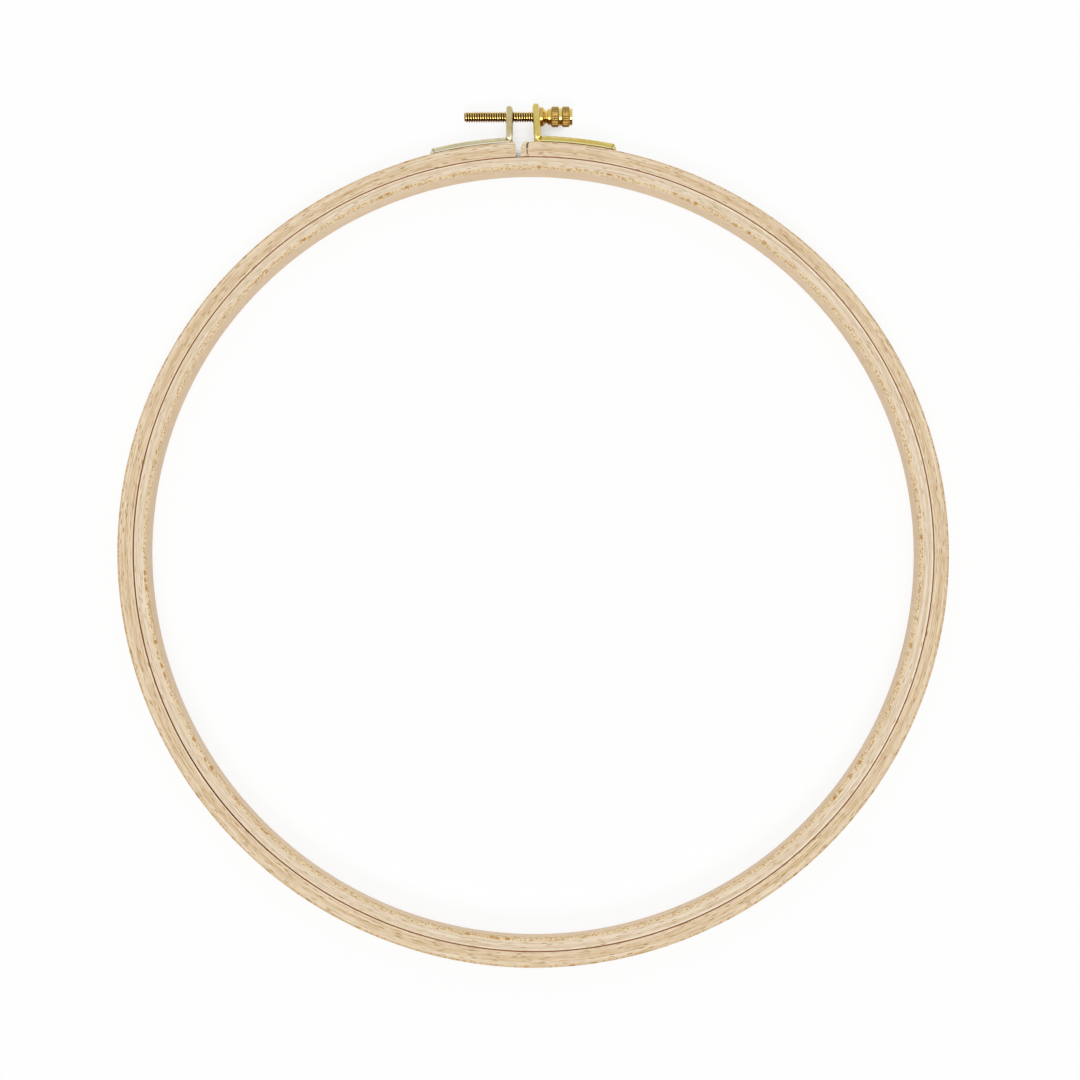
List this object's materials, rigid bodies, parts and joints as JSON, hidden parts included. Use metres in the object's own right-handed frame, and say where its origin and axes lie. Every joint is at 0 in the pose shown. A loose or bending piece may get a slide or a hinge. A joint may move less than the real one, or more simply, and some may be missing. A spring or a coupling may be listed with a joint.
{
  "type": "embroidery hoop",
  "caption": "Wooden embroidery hoop: a closed inner ring inside a split outer ring that a knurled brass thumbscrew draws together between pressed brass brackets.",
  "frame": {"origin": "centre of the work opening, on the hoop's axis and half way through its depth", "axes": "+Z along the hoop's axis towards the front face, +Y from the centre to the fittings on the rim, +X along the thumbscrew towards its head; the hoop lies flat on its back face"},
  "size_m": [0.2642, 0.2779, 0.0094],
  "materials": {
    "inner_beech": "sanded, unvarnished",
    "outer_beech": "sanded, unvarnished",
    "pressed_brass": "satin, lightly tumbled",
    "nail_brass": "satin",
    "turned_brass": "bright, as turned"
  },
  "bodies": {
    "right_side": {"outer_ring_right": "outer_beech", "plain_bracket": "pressed_brass", "plain_bracket_nails": "nail_brass"},
    "left_side": {"outer_ring_left": "outer_beech", "threaded_bracket": "pressed_brass", "threaded_bracket_nails": "nail_brass"},
    "inner_ring": {"inner_ring": "inner_beech"},
    "thumbscrew": {"thumbscrew": "turned_brass"}
  },
  "joints": [
    {"name": "thumbscrew_turn", "type": "hinge", "parent": "right_side", "child": "thumbscrew", "pos_m": [0, 0.14115, 0], "axis": [1, 0, 0], "range_deg": [0, 4534]},
    {"name": "outer_ring_flex", "type": "hinge", "parent": "right_side", "child": "left_side", "pos_m": [-0.01227, -0.13215, 0], "axis": [0, 0, 1], "range_deg": [0, 2.1]},
    {"name": "inner_ring_lift", "type": "slide", "parent": "right_side", "child": "inner_ring", "axis": [0, 0, 1], "range_m": [0, 0.03]}
  ],
  "couplings": [
    {"joint": "thumbscrew_turn", "follows": "outer_ring_flex", "ratio": 2162.9}
  ]
}
